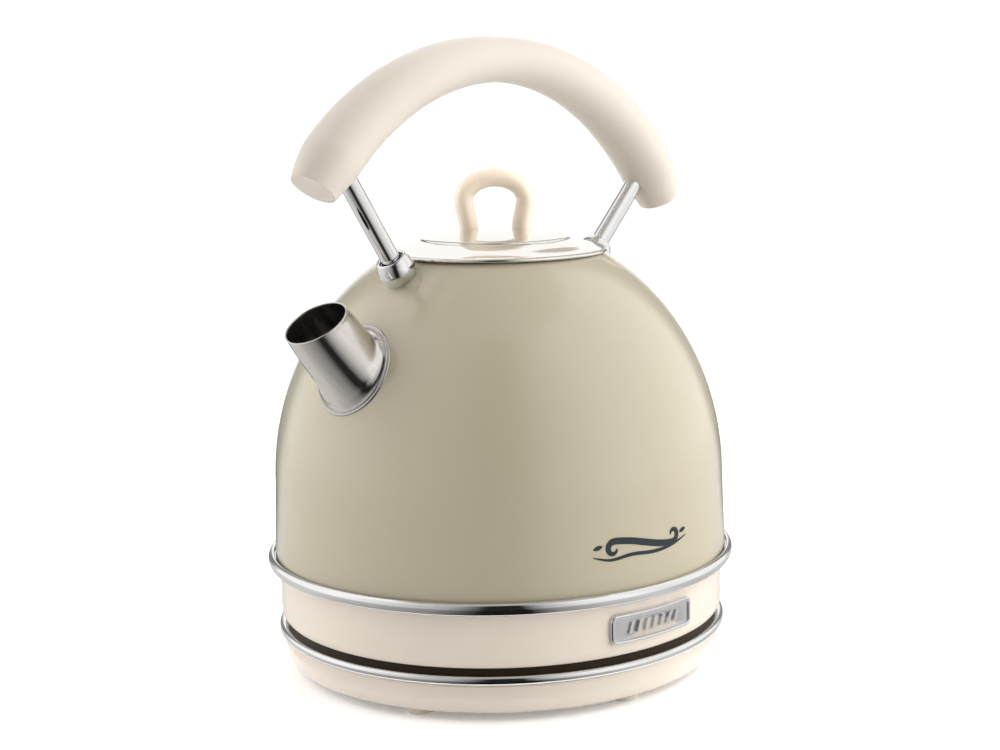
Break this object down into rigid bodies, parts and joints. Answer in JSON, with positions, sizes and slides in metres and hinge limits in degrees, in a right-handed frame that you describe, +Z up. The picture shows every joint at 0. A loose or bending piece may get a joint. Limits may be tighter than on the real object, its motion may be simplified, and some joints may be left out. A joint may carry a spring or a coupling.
{
  "type": "electric kettle",
  "caption": "Dome electric kettle with a short angled spout, an arched carrying handle on two posts and a lift-off lid, standing on a round power base.",
  "frame": {"origin": "centre of the overall box, on the plane the feet stand on", "axes": "+Z up; the spout points to -X, the rear switch to +X, the badge is on the -Y side"},
  "size_m": [0.2163, 0.19, 0.2514],
  "materials": {
    "sage_paint": "glossy pale sage enamel",
    "cream_plastic": "glossy cream",
    "warm_cream_plastic": "warm cream satin gloss",
    "matte_cream_plastic": "matte cream",
    "cream_rubber": "matte",
    "chrome": "mirror",
    "brushed_steel": "polished and brushed",
    "aluminium": "cast",
    "brass": "plain",
    "dark_nylon": "matte black-brown",
    "grey_silicone": "matte",
    "amber_lens": "clear amber",
    "badge_silver": "stippled silver grey"
  },
  "bodies": {
    "power_base": {"base_housing": "cream_plastic", "base_cover": "cream_plastic", "base_trim_ring": "chrome", "base_socket": "dark_nylon", "contact_pin": "brass", "contact_ring": "brass", "earth_ring": "brass", "cord_gland": "dark_nylon", "foot_1": "cream_rubber", "foot_2": "cream_rubber", "foot_3": "cream_rubber", "foot_4": "cream_rubber", "base_screw_1": "brushed_steel", "base_screw_2": "brushed_steel", "base_screw_3": "brushed_steel"},
    "connector": {"connector_plug": "dark_nylon", "plug_pin_sleeve": "brass", "plug_ring_contact": "brass"},
    "kettle": {"badge_frame": "chrome", "badge_plate": "badge_silver", "body_shell": "sage_paint", "body_trim_ring": "chrome", "clamp_ring": "brushed_steel", "control_housing": "dark_nylon", "dry_boil_disc_1": "brushed_steel", "dry_boil_disc_2": "brushed_steel", "filter_rail_1": "dark_nylon", "filter_rail_2": "dark_nylon", "front_ferrule": "chrome", "front_post": "chrome", "front_post_nut": "brushed_steel", "grip": "matte_cream_plastic", "heat_spreader": "aluminium", "heater_plate": "brushed_steel", "heater_seal": "grey_silicone", "heating_element": "aluminium", "indicator_lamp": "amber_lens", "rear_ferrule": "chrome", "rear_post": "chrome", "rear_post_nut": "brushed_steel", "skirt": "cream_plastic", "skirt_floor": "dark_nylon", "spout_flange": "brushed_steel", "spout_tube": "brushed_steel", "steam_bimetal": "brushed_steel", "steam_tube": "brushed_steel", "switch_bezel": "dark_nylon"},
    "lid": {"lid_cap": "brushed_steel", "lid_collar": "cream_plastic", "lid_seal": "grey_silicone", "lid_liner": "brushed_steel", "lid_knob": "warm_cream_plastic", "lid_knob_screw_1": "brushed_steel", "lid_knob_screw_2": "brushed_steel"},
    "filter": {"filter_frame": "dark_nylon", "filter_mesh": "brushed_steel"},
    "switch": {"switch_lever": "cream_plastic"},
    "trip": {"trip_lever": "dark_nylon"}
  },
  "joints": [
    {"name": "kettle_lift", "type": "slide", "parent": "power_base", "child": "connector", "axis": [0, 0, 1], "range_m": [0, 0.08]},
    {"name": "kettle_swivel", "type": "hinge", "parent": "connector", "child": "kettle", "pos_m": [-0.0037, 0, 0.03], "axis": [0, 0, 1], "continuous": true},
    {"name": "lid_lift", "type": "slide", "parent": "kettle", "child": "lid", "axis": [0, 0, 1], "range_m": [0, 0.028]},
    {"name": "filter_slide", "type": "slide", "parent": "kettle", "child": "filter", "axis": [0.4685, 0, 0.8834], "range_m": [0, 0.007]},
    {"name": "switch_pivot", "type": "hinge", "parent": "kettle", "child": "switch", "pos_m": [0.0768, 0, 0.0315], "axis": [0, 1, 0], "range_deg": [0, 16]},
    {"name": "trip_pivot", "type": "hinge", "parent": "kettle", "child": "trip", "pos_m": [0.0608, 0, 0.0396], "axis": [0, 1, 0], "range_deg": [-5, 0.5]}
  ],
  "couplings": [
    {"joint": "trip_pivot", "follows": "switch_pivot", "ratio": -0.3}
  ]
}
